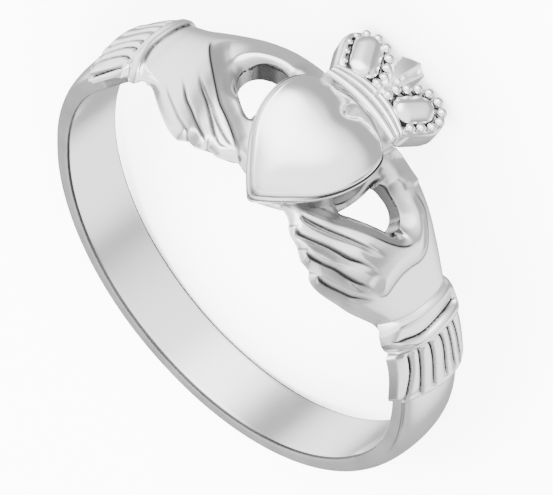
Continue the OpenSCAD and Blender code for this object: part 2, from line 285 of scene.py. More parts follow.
def silver_material():
    """Polished silver with shade painted into its colour: near black where the crease attribute is high."""
    material = bpy.data.materials.new("silver")
    material.use_nodes = True
    nodes, links = material.node_tree.nodes, material.node_tree.links
    shader = nodes["Principled BSDF"]
    shader.inputs["Metallic"].default_value = 1.0
    marks = nodes.new("ShaderNodeGroup")
    marks.node_tree = wear_group()
    marks.inputs["Low gloss"].default_value = 0.13
    marks.inputs["High gloss"].default_value = 0.21
    links.new(marks.outputs["Roughness"], shader.inputs["Roughness"])
    bump = nodes.new("ShaderNodeBump")
    bump.inputs["Strength"].default_value = 0.04
    bump.inputs["Distance"].default_value = 0.00001
    links.new(marks.outputs["Height"], bump.inputs["Height"])
    links.new(bump.outputs["Normal"], shader.inputs["Normal"])
    # painted shade: the crease attribute blends the silver's colour towards near black
    crease = nodes.new("ShaderNodeAttribute")
    crease.attribute_name = "crease"
    painted_shade_mix = nodes.new("ShaderNodeMix")
    painted_shade_mix.data_type = "RGBA"
    painted_shade_mix.inputs["A"].default_value = (0.93, 0.93, 0.925, 1)
    painted_shade_mix.inputs["B"].default_value = (0.03, 0.03, 0.032, 1)
    links.new(crease.outputs["Fac"], painted_shade_mix.inputs["Factor"])
    links.new(painted_shade_mix.outputs["Result"], shader.inputs["Base Color"])
    return material


silver = silver_material()


# Band

# Columns: share of the way from its start under the cuff to the back, near and far edge, height of
# the inner side as a share of the hollow's depth
band_rows = np.array([
    [0.000, -1.40, 0.70, 1.0],
    [0.030, -1.40, 0.70, 0.0],
    [0.130, -1.45, 0.85, 0.0],
    [0.165, -1.72, 1.05, 0.0],
    [0.195, -1.88, 1.12, 0.0],
    [0.280, -1.77, 1.22, 0.0],
    [0.380, -1.55, 1.30, 0.0],
    [0.500, -1.40, 1.32, 0.0],
    [1.000, -1.33, 1.32, 0.0],
])
band_start_deg = 39.5
band_steps = 260
band_bevel = 0.08
# Share of the way from the right cuff to the band's back where the line along the outer edge is over
outer_line_end = 0.414


def band_section():
    """Section as rows of place across in half widths, height, and painted shade of the two edges' lines.

    A height up to 1 is a share of the side's height, and one from 1 to 2 is on the rounded outside.
    """
    inset = band_bevel / (band_w / 2)
    # columns three and four paint shade: a dark line in the inner edge's bevel, one where side meets dome
    half = [(1 - 3 * inset, 0, 0, 0), (1 - 1.2 * inset, 0, 0, 0), (1 - inset, 0.002, 0.9, 0),
            (1 - 0.5 * inset, 0.04, 1, 0), (1 - 0.15 * inset, 0.09, 0.8, 0), (1, 0.14, 0, 0), (1, 0.5, 0, 0),
            (1, 0.93, 0, 0), (0.999, 0.99, 0, 0.4), (0.997, 1.04, 0, 1), (0.994, 1.12, 0, 0.2)]
    turns = np.radians([11, 15, 20, 26, 33, 41, 50, 60, 70, 80, 90])
    dome = [(math.cos(t), 1 + math.sin(t) ** 0.9, 0, 0) for t in turns]
    right = half + dome
    left = [(-x, h, d, e) for x, h, d, e in reversed(right[:-1])]
    middle = [(x, 0, 0, 0) for x in np.linspace(-0.6, 0.6, 5)]
    return right + left + middle


def band():
    """Band from cuff to cuff: one section repeated round the finger, with its own width at each step."""
    section = band_section()
    bm = bmesh.new()
    crease = bm.verts.layers.float.new("crease")
    verts = [bm.verts.new((row[0], row[1], 0)) for row in section]
    edges = [bm.edges.new((verts[i], verts[(i + 1) % len(verts)])) for i in range(len(verts))]
    bmesh.ops.spin(bm, geom=verts + edges, cent=(0, 0, 0), axis=(0, 1, 0), dvec=(0, 0, 0), angle=0,
                   steps=band_steps, use_merge=False, use_duplicate=False)
    bm.verts.ensure_lookup_table()
    points, dark = [], []
    for i in range(band_steps + 1):
        share = i / band_steps
        half_way = 1 - abs(2 * share - 1)
        near, far, lift = (np.interp(half_way, band_rows[:, 0], band_rows[:, k]) for k in (1, 2, 3))
        inner_r = bore_r + lift * (hollow_r - bore_r)
        angle = math.radians(band_start_deg + share * (360 - 2 * band_start_deg))
        # painted shade along the outer edge, only near the right cuff
        outer_line = 0.8 * float(ease((outer_line_end - 2 * share) / 0.12))
        for x, height, inner, outer in section:
            side = band_edge_t * min(height, 1) + (band_t - band_edge_t) * max(height - 1, 0)
            radius = max(bore_r + side, inner_r + 0.05 * height)
            across = (near + far) / 2 + x * (far - near) / 2
            points.append((radius * math.sin(angle), across, radius * math.cos(angle)))
            dark.append(max(0.95 * inner, outer_line * outer))
    place(bm.verts, points)
    for vert, value in zip(bm.verts, dark):
        vert[crease] = value
    for end in (bm.verts[:len(section)], bm.verts[-len(section):]):
        bmesh.ops.contextual_create(bm, geom=end)
    finish_piece("band", bm)


band()


# Hands

# Columns: share of the way from the heart to the wrist, near and far edge as shares of the way
# from the wrist's edge to the fingertips' edge, height of the near edge, of the middle and of
# the far edge as shares of the hand's thickness
hand_rows = np.array([
    [0.04, 0.20, 0.50, 0.80, 0.88, 0.50],
    [0.10, 0.35, 0.50, 0.80, 0.88, 0.50],
    [0.18, 0.72, 0.80, 0.90, 0.90, 0.52],
    [0.26, 0.90, 1.00, 0.92, 0.93, 0.54],
    [0.36, 0.98, 1.00, 0.88, 0.94, 0.50],
    [0.48, 0.99, 0.95, 0.72, 0.94, 0.44],
    [0.62, 0.88, 0.72, 0.48, 0.86, 0.36],
    [0.76, 0.58, 0.40, 0.32, 0.70, 0.26],
    [0.90, 0.20, 0.15, 0.22, 0.48, 0.16],
    [1.00, 0.00, 0.00, 0.18, 0.36, 0.10],
])

# The edge along the fingertips, on the head laid flat
fingertip_edge = {
    1: smooth_line([(0.3, -3.95), (0.9, -4.08), (1.39, -4.2), (1.56, -4.28), (1.73, -4.4), (1.81, -4.5),
                    (2.09, -4.63), (2.4, -4.67), (2.63, -4.7), (2.82, -4.78), (3.12, -4.86),
                    (3.45, -4.78), (3.67, -4.76), (3.86, -4.88), (4.16, -4.89), (4.59, -4.74),
                    (5.13, -4.46), (5.61, -4.18), (6.3, -3.8), (7.0, -3.32), (7.6, -2.92), (8.3, -2.66)], 6),
    -1: smooth_line([(0.3, -4.1), (1.03, -4.18), (1.34, -4.18), (1.65, -4.33), (1.87, -4.51),
                     (2.16, -4.62), (2.58, -4.59), (2.73, -4.75), (3.07, -4.83), (3.46, -4.75),
                     (3.7, -4.85), (3.97, -4.89), (4.63, -4.63), (5.56, -4.12), (6.53, -3.54),
                     (7.43, -2.96), (8.3, -2.66), (9.0, -2.6), (9.9, -2.55)], 6),
}
# Width and drop of the rounding along the fingertips
pad_round, pad_drop = 0.45, 0.34
# Short dark lines of painted shade, not cut into the surface, that end the gaps between the fingers at the
# fingertips
tip_nicks = {
    1: [[(1.95, -4.25), (1.74, -4.46)], [(2.88, -4.5), (2.62, -4.74)], [(3.86, -4.62), (3.62, -4.82)]],
    -1: [[(2.82, -4.38), (2.58, -4.64)], [(3.91, -4.45), (3.44, -4.8)]],
}

gap_loop = {
    1: [(2.46, -2.38), (2.6, -2.05), (2.66, -1.55), (2.66, -0.9), (2.62, -0.3), (2.8, -0.02),
        (3.3, 0.06), (3.85, 0.04), (4.3, -0.16), (4.56, -0.56), (4.54, -0.92), (4.26, -1.24),
        (3.78, -1.6), (3.22, -1.96), (2.78, -2.24)],
    -1: [(2.44, -2.46), (2.52, -2.1), (2.6, -1.55), (2.66, -0.9), (2.62, -0.1), (2.8, 0.14), (3.3, 0.24),
         (3.85, 0.12), (4.26, -0.14), (4.46, -0.55), (4.4, -1.0), (4.12, -1.42), (3.7, -1.82),
         (3.22, -2.18), (2.8, -2.4)],
}

# Rounding of the gap's sides at its narrowest, and how far it drops as a share of its width
gap_round, gap_drop = 0.12, 0.7
# Painted shade on the gap's rounded sides, and on its walls
gap_shade = 0.66
gap_wall_shade = 0.76

# Steps between the fingers, each as the crease under one finger and the crest of the next, both
# from the fingertips to the knuckles, and the depth of the crease
finger_steps = {
    1: [
        ([(1.62, -3.92), (2.1, -3.72), (2.62, -3.44), (3.36, -2.96), (4.09, -2.53), (4.6, -2.2),
          (5.06, -1.9)],
         [(1.72, -4.06), (2.3, -3.93), (2.73, -3.72), (3.45, -3.24), (4.14, -2.74), (4.6, -2.44),
          (5.1, -1.98)],
         0.17),
        ([(1.9, -4.22), (2.07, -4.4), (2.34, -4.36), (2.82, -4.05), (3.32, -3.71), (3.76, -3.47),
          (4.21, -3.24), (4.68, -2.88), (5.15, -2.6), (5.66, -2.38)],
         [(2.0, -4.3), (2.2, -4.56), (2.7, -4.48), (3.1, -4.33), (3.63, -4.01), (3.98, -3.82),
          (4.3, -3.52), (4.88, -3.1), (5.29, -2.84), (5.72, -2.44)],
         0.20),
        ([(2.9, -4.4), (2.96, -4.56), (3.22, -4.52), (3.66, -4.27), (4.18, -3.9), (4.64, -3.66),
          (5.13, -3.38), (5.63, -3.0), (6.2, -2.62)],
         [(3.0, -4.6), (3.4, -4.76), (3.9, -4.66), (4.32, -4.33), (4.71, -4.06), (5.09, -3.8),
          (5.6, -3.42), (6.02, -3.06), (6.26, -2.7)],
         0.19),
        ([(3.9, -4.62), (4.2, -4.58), (4.55, -4.4), (4.86, -4.2), (5.22, -3.95), (5.59, -3.68),
          (6.0, -3.26), (6.44, -2.8)],
         [(4.0, -4.72), (4.34, -4.8), (4.75, -4.66), (5.06, -4.44), (5.4, -4.18), (5.8, -3.84),
          (6.16, -3.4), (6.5, -2.86)],
         0.13),
    ],
    -1: [
        ([(1.95, -4.15), (2.33, -4.25), (2.65, -4.12), (3.04, -3.88), (3.6, -3.47), (4.17, -3.06),
          (4.8, -2.66), (5.72, -1.9)],
         [(2.05, -4.26), (2.38, -4.44), (2.76, -4.3), (3.14, -4.04), (3.7, -3.62), (4.26, -3.2),
          (4.9, -2.76), (5.78, -1.96)],
         0.15),
        ([(1.9, -4.02), (2.53, -3.8), (3.18, -3.5), (3.81, -3.15), (4.54, -2.7), (5.2, -2.28),
          (5.72, -1.88)],
         [(2.0, -4.14), (2.6, -4.0), (3.26, -3.72), (3.86, -3.34), (4.58, -2.8), (5.24, -2.36),
          (5.76, -1.94)],
         0.13),
        ([(2.72, -4.56), (2.94, -4.46), (3.7, -4.07), (4.31, -3.7), (4.93, -3.34), (5.54, -2.86),
          (6.22, -2.36)],
         [(2.8, -4.68), (3.11, -4.6), (3.8, -4.26), (4.44, -3.84), (5.1, -3.42), (5.62, -2.94),
          (6.26, -2.42)],
         0.16),
        ([(3.56, -4.66), (4.01, -4.4), (4.53, -4.17), (5.09, -3.86), (5.7, -3.5), (6.23, -3.16),
          (6.79, -2.76)],
         [(3.66, -4.78), (4.1, -4.6), (4.6, -4.34), (5.16, -4.02), (5.76, -3.62), (6.28, -3.26),
          (6.83, -2.82)],
         0.11),
    ],
}
finger_round_w = 0.15
# Strength of the painted dark line along each crease
finger_line_shade = {1: [1.0, 1.0, 1.0, 1.0], -1: [1.0, 0.7, 1.0, 0.7]}
# How far each finger's grey facet reaches from its crease to its crest, its depth and its painted shade
facet_reach = {1: 1.0, -1: 0.45}
facet_depth = {1: 1.0, -1: 0.5}
facet_shade = {1: 0.55, -1: 0.3}
# Width of the painted dark lines
line_w = 0.036

# The far edge of the first finger, with the sunken web between finger and thumb beyond it
web_line = {
    1: [(0.9, -3.95), (1.3, -3.84), (1.6, -3.7), (2.05, -3.45), (2.45, -3.22), (2.79, -3.0),
        (3.2, -2.65), (3.67, -2.31), (4.18, -1.93), (4.7, -1.52), (5.1, -1.08), (5.28, -0.66),
        (5.24, -0.44)],
    -1: [(0.9, -4.3), (1.4, -4.12), (1.9, -3.86), (2.25, -3.64), (2.62, -3.42), (3.12, -3.15),
         (3.68, -2.86), (4.27, -2.42), (5.2, -1.66), (5.91, -1.06), (6.5, -0.5), (6.8, -0.12)],
}
web_drop = {1: 0.20, -1: 0.10}
web_step = {1: 0.06, -1: 0.07}
# Painted shade on the sunken web
web_shade = {1: 0.50, -1: 0.30}

# The edge of the raised back of the right hand, from the thumb round the knuckles
knuckle_line = [(3.6, 0.86), (4.5, 0.94), (5.0, 0.78), (5.6, 0.45), (6.0, 0.1), (6.16, -0.4),
                (6.1, -0.9), (6.1, -1.4), (6.24, -1.9), (6.44, -2.3), (6.34, -2.6), (5.9, -2.86)]
# Corners that close the raised area on the heart's side, past the hand's edges
knuckle_inner = [(5.0, -3.6), (4.0, -6.0), (-1.0, -6.0), (-1.0, 2.5), (3.6, 2.5)]
knuckle_rise = 0.19
knuckle_shade = 0.42

# Even grid on the head laid flat, for the hands' heights
grid_step = 0.03
field_along = np.arange(0.2, 9.8, grid_step)
field_across = np.arange(-5.3, 2.0, grid_step)


def soften(field, width):
    """Blurs a field on the even grid by a width in millimetres."""
    reach = int(3 * width / grid_step) + 1
    weights = np.exp(-0.5 * (np.arange(-reach, reach + 1) * grid_step / width) ** 2)
    weights /= weights.sum()
    wide = np.pad(field, reach, mode="edge")
    rows = sum(w * wide[i:i + field.shape[0]] for i, w in enumerate(weights))
    return sum(w * rows[:, i:i + field.shape[1]] for i, w in enumerate(weights))


def read_field(field, along, across):
    """Values of a field at places between the grid's points."""
    x = np.clip((along - field_along[0]) / grid_step, 0, len(field_along) - 1.001)
    y = np.clip((across - field_across[0]) / grid_step, 0, len(field_across) - 1.001)
    i, j = x.astype(int), y.astype(int)
    u, v = x - i, y - j
    return ((1 - u) * (1 - v) * field[i, j] + u * (1 - v) * field[i + 1, j]
            + (1 - u) * v * field[i, j + 1] + u * v * field[i + 1, j + 1])


def hand_column(along, column):
    """A column of the hand's table at distances along the band, softened."""
    share = along / wrist_reach
    return sum(np.interp(share + k * 0.02, hand_rows[:, 0], hand_rows[:, column]) for k in range(-2, 3)) / 5


def arch(near, middle, far, x):
    """Height at a share x of the way across, from three heights: near edge, middle, far edge."""
    near_side = middle + (near - middle) * np.maximum(1 - 2 * x, 0) ** 2
    far_side = middle + (far - middle) * np.maximum(2 * x - 1, 0) ** 2.6
    return np.where(x < 0.5, near_side, far_side)


def hand_far(along):
    """Far edge of the hand at distances along the band."""
    return wrist_far + (tips_far - wrist_far) * hand_column(along, 2)


def hand_base(along, across):
    """Height of the hand without its lines."""
    near = wrist_near + (tips_near - wrist_near) * hand_column(along, 1)
    x = np.clip((across - near) / (hand_far(along) - near), 0, 1)
    return hollow_r + hand_t * arch(hand_column(along, 3), hand_column(along, 4), hand_column(along, 5), x)


def fingers(along, across, side):
    """Depth of the steps between the fingers and of the creases under them, and the shade painted along them.
    """
    trench, dark = np.zeros(along.shape), np.zeros(along.shape)
    for (crease, crest, depth), strength in zip(finger_steps[side], finger_line_shade[side]):
        low = evenly(smooth_line(crease), 48)
        high = low + facet_reach[side] * (evenly(smooth_line(crest), 48) - low)
        to_crease, beyond, share = nearest(along, across, low)
        to_crest, above, _ = nearest(along, across, high)
        ends = ease(share / 0.10) * ease((1 - share) / 0.45)
        slope = np.where((beyond < 0) & (above > 0), to_crest / np.maximum(to_crease + to_crest, 1e-6), 0)
        round_side = np.where((beyond >= 0) | (slope > 0), cusp(to_crease / finger_round_w), 0)
        trench = np.maximum(trench, depth * facet_depth[side] * ends * np.maximum(slope, round_side))
        # painted shade: a dark line along the crease
        line = painted_line_shade(to_crease, line_w) * ease(share / 0.06) * ease((1 - share) / 0.35)
        dark = np.maximum(dark, strength * line)
        # painted shade on the facet, darkest at the crease
        dark = np.maximum(dark, facet_shade[side] * (slope > 0) * (0.35 + 0.65 * slope) * ends)
    # painted shade: short dark lines where the gaps between the fingers end at the fingertips
    for nick in tip_nicks[side]:
        distance, _, _ = nearest(along, across, np.array(nick))
        dark = np.maximum(dark, 0.8 * painted_line_shade(distance, 0.03))
    return trench, dark


def hand_fields(side):
    """Height of the hand with fingers, web, thumb and knuckles, and the shade painted on it."""
    along, across = np.meshgrid(field_along, field_across, indexing="ij")
    form = np.zeros(along.shape)

    # web between first finger and thumb, falling from the finger towards the gap
    distance, beyond, share = nearest(along, across, smooth_line(web_line[side]))
    over = ease((1 - share) / 0.15)
    fall = web_step[side] * ease(distance / 0.07) + web_drop[side] * ease(distance / 0.6)
    fade = np.exp(-np.maximum(distance - 0.8, 0) / 0.6)
    web = np.where(beyond > 0, over, 0)
    form -= fall * fade * web
    # painted shade on the sunken web, and a painted dark line along the first finger's far edge
    grey_shade = soften(web * np.exp(-(distance / 0.75) ** 4), 0.04) * web_shade[side]
    strong = ease((share - 0.45) / 0.3) if side == 1 else ease((share - 0.12) / 0.1)
    line = painted_line_shade(distance, line_w) * strong * ease((1 - share) / 0.08)

    # raised back of the hand
    if side == 1:
        edge, _, share = nearest(along, across, smooth_line(knuckle_line))
        inside = within(along, across, np.vstack([smooth_line(knuckle_line), knuckle_inner]))
        ends = ease((across + 3.7) / 1.0) * ease((along - 2.9) / 1.3)
        form += knuckle_rise * np.where(inside, ease(edge / 0.6), 0) * ends
        middle = ease((share - 0.3) / 0.2) * ease((1 - share) / 0.1)
        # painted shade on the slope inside the raised back's edge, and a painted dark line along that edge
        grey_shade = np.maximum(grey_shade, knuckle_shade * inside * np.exp(-(edge / 0.28) ** 1.5) * ends * middle)
        line = np.maximum(line, 0.9 * painted_line_shade(edge, line_w) * ease(share / 0.12) * ease((1 - share) / 0.15))

    # round sides of the gap: wide on the thumb, narrow on the finger
    loop = smooth_loop(gap_loop[side])
    distance, _, _ = nearest(along, across, np.vstack([loop, loop[:1]]))
    inside = within(along, across, loop)
    distance = np.where(inside, 0, distance)
    if side == 1:
        radius = gap_round + 0.95 * ease((across + 1.9) / 2.1) * ease((along - 2.0) / 1.8)
    else:
        radius = gap_round + 0.22 * ease((across + 1.0) / 0.8)
        radius = radius + 0.48 * ease((along - 3.2) / 1.0) * ease((0.4 - across) / 1.2)
    form -= gap_drop * radius * np.clip(1 - distance / radius, 0, 1) ** 2
    heart_side = ease((3.0 - along) / 0.4) * ease((across + 2.6) / 0.8) * ease((0.9 - across) / 0.9)
    form -= 0.35 * heart_side * np.exp(-(distance / 0.5) ** 2)
    # painted shade down the gap's rounded sides, and in the valley beside the heart
    shade = gap_shade * np.exp(-(distance / (0.5 * radius)) ** 2)
    valley = ease((3.2 - along) / 0.5) * np.exp(-(distance / 0.7) ** 2)
    grey_shade = np.maximum(grey_shade, np.maximum(shade, gap_shade * soften(valley, 0.08)))

    # rounded fingertips and far side
    distance, _, _ = nearest(along, across, fingertip_edge[side])
    near = np.interp(along, fingertip_edge[side][:, 0], fingertip_edge[side][:, 1])
    distance = np.where(across > near, distance, 0)
    form -= pad_drop * np.clip(1 - distance / pad_round, 0, 1) ** 2
    form -= round_over(np.maximum(hand_far(along) - across, 0), 0.22)

    trench, dark = fingers(along, across, side)
    height = hand_base(along, across) + soften(form, 0.05) - soften(trench, 0.03)
    return height, np.maximum(np.maximum(dark, line), grey_shade)


def plate(along_steps, across_steps, flat, opening=None):
    """Grid whose laid-out places flat gives for shares along and across, with the opening cut out."""
    bm = bmesh.new()
    bm.verts.layers.float.new("crease")
    bmesh.ops.create_grid(bm, x_segments=along_steps, y_segments=across_steps, size=0.5)
    share = np.array([v.co[:2] for v in bm.verts]) + 0.5
    along, across = flat(share[:, 0], share[:, 1])
    place(bm.verts, np.stack([along, across, np.zeros(len(along))], -1))
    if opening is not None:
        rim = {v for v in bm.verts if v.is_boundary}
        middles = np.array([f.calc_center_median()[:2] for f in bm.faces])
        inside = within(middles[:, 0], middles[:, 1], opening)
        gone = [f for f, cut in zip(list(bm.faces), inside) if cut]
        bmesh.ops.delete(bm, geom=gone, context="FACES")
        cut_edges = {e for e in bm.edges if e.is_boundary and not all(v in rim for v in e.verts)}
        walk = [min(cut_edges, key=lambda e: e.index).verts[0]]
        while cut_edges:
            step = next((e for e in walk[-1].link_edges if e in cut_edges), None)
            if step is None:
                break
            cut_edges.discard(step)
            walk.append(step.other_vert(walk[-1]))
        walk.pop()
        seat_rim(walk, opening)
        # even out the grid beside the opening
        near_rim = set(walk)
        for _ in range(3):
            beside = {e.other_vert(v) for v in near_rim for e in v.link_edges}
            near_rim |= {v for v in beside if not v.is_boundary}
        close = [v for v in bm.verts if v in near_rim and not v.is_boundary]
        for _ in range(6):
            bmesh.ops.smooth_vert(bm, verts=close, factor=0.5, use_axis_x=True, use_axis_y=True,
                                  use_axis_z=False)
    return bm


def seat_rim(walk, opening):
    """Puts the corners of a cut rim, in their order, evenly on the loop of the opening."""
    loop = evenly(np.vstack([opening, opening[:1]]), 4001)[:-1]
    places = np.array([v.co[:2] for v in walk])
    first = int(np.argmin(np.hypot(*(loop - places[0]).T)))
    later = int(np.argmin(np.hypot(*(loop - places[len(walk) // 8]).T)))
    way = 1 if (later - first) % len(loop) < len(loop) / 2 else -1
    for k, vert in enumerate(walk):
        vert.co.xy = loop[(first + way * round(k * len(loop) / len(walk))) % len(loop)]


def thicken(bm, lay_out, under_shade=0.0):
    """Closes a flat plate into a solid: lay_out gives its top, its underside and the shade painted on its
    top.
    """
    crease = bm.verts.layers.float["crease"]
    lower = list(bm.verts)
    grown = bmesh.ops.extrude_face_region(bm, geom=list(bm.faces))
    upper = [g for g in grown["geom"] if isinstance(g, bmesh.types.BMVert)]
    # painted shade on the underside; the walls blend from it to the top's
    for vert in lower:
        vert[crease] = under_shade
    flat = np.array([v.co[:2] for v in lower])
    place(lower, lay_out(flat[:, 0], flat[:, 1])[1])
    flat = np.array([v.co[:2] for v in upper])
    top, _, dark = lay_out(flat[:, 0], flat[:, 1])
    place(upper, top)
    for vert, value in zip(upper, dark):
        vert[crease] = float(value)
    below = set(lower)
    walls = [e for e in bm.edges if (e.verts[0] in below) != (e.verts[1] in below)]
    bmesh.ops.subdivide_edges(bm, edges=walls, cuts=3, use_grid_fill=True)
    return bm


# Where the hand starts under the heart and ends under the cuff, along the band
hand_from = 0.55
hand_to = {1: 8.25, -1: 9.4}
# Steps of the hand's grid along the band and across it
hand_grid = (225, 185)


def hand(side, name):
    """Hand with its fingers and thumb, and the gap beside the heart cut through it."""
    edge = fingertip_edge[side]
    height_field, dark_field = hand_fields(side)

    def edges(along):
        return np.interp(along, edge[:, 0], edge[:, 1]), hand_far(along)

    def flat(a, b):
        along = hand_from + a * (hand_to[side] - hand_from)
        near, far = edges(along)
        return along, near + b * (far - near)

    def lay_out(along, across):
        near, far = edges(along)
        b = np.clip((across - near) / (far - near), 0, 1)
        height = read_field(height_field, along, across)
        dark = read_field(dark_field, along, across)
        # the hollow gets shallower towards the wrist
        under = np.where(along < 5.7, hollow_r, hollow_r - 0.55 * ease((along - 5.7) / 1.9))
        inset = 0.8 * (1 - b) ** 6 - 0.3 * b ** 8
        return on_ring(along, across, height, side), on_ring(along, across + inset, under, side), dark

    bm = plate(*hand_grid, flat, smooth_loop(gap_loop[side]))
    finish_piece(name, thicken(bm, lay_out, gap_wall_shade), sharp_deg=70)


hand(1, "right_hand")
hand(-1, "left_hand")


# Cuffs

pleat_lines = {
    1: [
        [(9.6, -2.22), (10.5, -2.24), (11.3, -2.36), (12.1, -2.5)],
        [(9.6, -1.72), (10.5, -1.74), (12.2, -1.75)],
        [(9.55, -1.18), (10.3, -1.1), (12.25, -1.04)],
        [(9.55, -0.62), (10.3, -0.46), (12.3, -0.32)],
        [(9.55, -0.1), (10.4, 0.0), (12.4, 0.28)],
        [(9.55, 0.28), (10.4, 0.44), (12.4, 0.78)],
    ],
    -1: [
        [(9.5, -2.7), (9.9, -2.8), (10.5, -2.9), (11.4, -3.0)],
        [(9.5, -2.2), (9.9, -2.1), (10.8, -2.14), (12.2, -2.24)],
        [(9.6, -1.66), (10.0, -1.56), (11.0, -1.58), (12.3, -1.72)],
        [(9.65, -1.24), (10.0, -1.1), (11.0, -1.08), (12.3, -1.1)],
        [(9.6, -0.6), (10.2, -0.46), (12.3, -0.44)],
        [(9.6, -0.02), (10.4, 0.1), (12.4, 0.22)],
        [(9.6, 0.36), (10.4, 0.5), (12.4, 0.74)],
    ],
}
# How far the collar stands out past the wrist at its near side, along the arm
collar_widening = [(7.9, 0), (8.2, 0.14), (8.6, 0.33), (9.0, 0.38), (9.3, 0.3), (9.5, 0.16), (9.62, 0)]
pleat_half_w = 0.29
pleat_depth = 0.17
# The frill's near side: how far it stands out past the wrist, and its flat facet's width and drop
frill_out = 0.36
facet_w, facet_drop = 0.26, 0.18
# How far the cuff's edges run ahead of its middle at the near side, where its rows are bowed
near_bow = 0.44
# Where the lines of painted shade lie along the arm: between the collar's rolls and at its two ends
collar_crease = {1: 8.91, -1: 8.87}
wrist_line, frill_line = 7.98, 9.6
cuff_floor = 0.25
cuff_wall = 0.1
# The left cuff starts under the hand: how far its edge is tucked in there, and its floor raised
left_tuck, left_floor_rise = 1.3, 0.45
# Where the cuff starts along the arm
cuff_from = {1: 7.6, -1: 8.3}
cuff_grid = (190, 150)

# The two collar rolls along the arm: place and height over the cuff
roll_points = [(7.3, -0.55), (7.9, -0.45), (8.0, -0.14), (8.08, 0.04), (8.22, 0.13), (8.4, 0.12),
               (8.6, 0.06), (8.77, -0.01), (8.86, -0.07), (8.91, -0.13), (8.95, -0.02), (9.03, 0.13),
               (9.18, 0.21), (9.34, 0.2), (9.47, 0.12), (9.55, 0.0), (9.62, -0.04), (9.8, 0.0),
               (13.5, 0.0)]
# The same at the collar's ends, where the rolls run together
roll_end_points = [(7.3, -0.55), (7.86, -0.45), (7.96, -0.1), (8.08, 0.06), (8.35, 0.16), (8.9, 0.18),
                   (9.3, 0.16), (9.46, 0.08), (9.56, -0.02), (9.62, -0.04), (9.8, 0.0), (13.5, 0.0)]
# The left cuff has no roll at the wrist: the hand runs into its crease, which slants
left_roll_points = [(7.3, -0.9), (8.8, -0.9), (8.86, -0.3), (8.9, 0.02), (8.97, 0.07), (9.1, 0.09),
                    (9.4, 0.09), (9.52, 0.06), (9.6, 0.0), (9.66, -0.03), (9.82, 0.0), (13.5, 0.0)]
left_slant = 0.11


def roll_curve(place_along, points):
    """Height of the collar's rolls at places along the arm, with soft corners."""
    fine = np.arange(7.3, 13.6, 0.01)
    weights = np.exp(-0.5 * (np.arange(-8, 9) / 2.5) ** 2)
    height = np.interp(fine, *np.array(points).T)
    smooth = np.convolve(np.pad(height, 8, mode="edge"), weights / weights.sum(), "valid")
    return np.interp(place_along, fine, smooth)


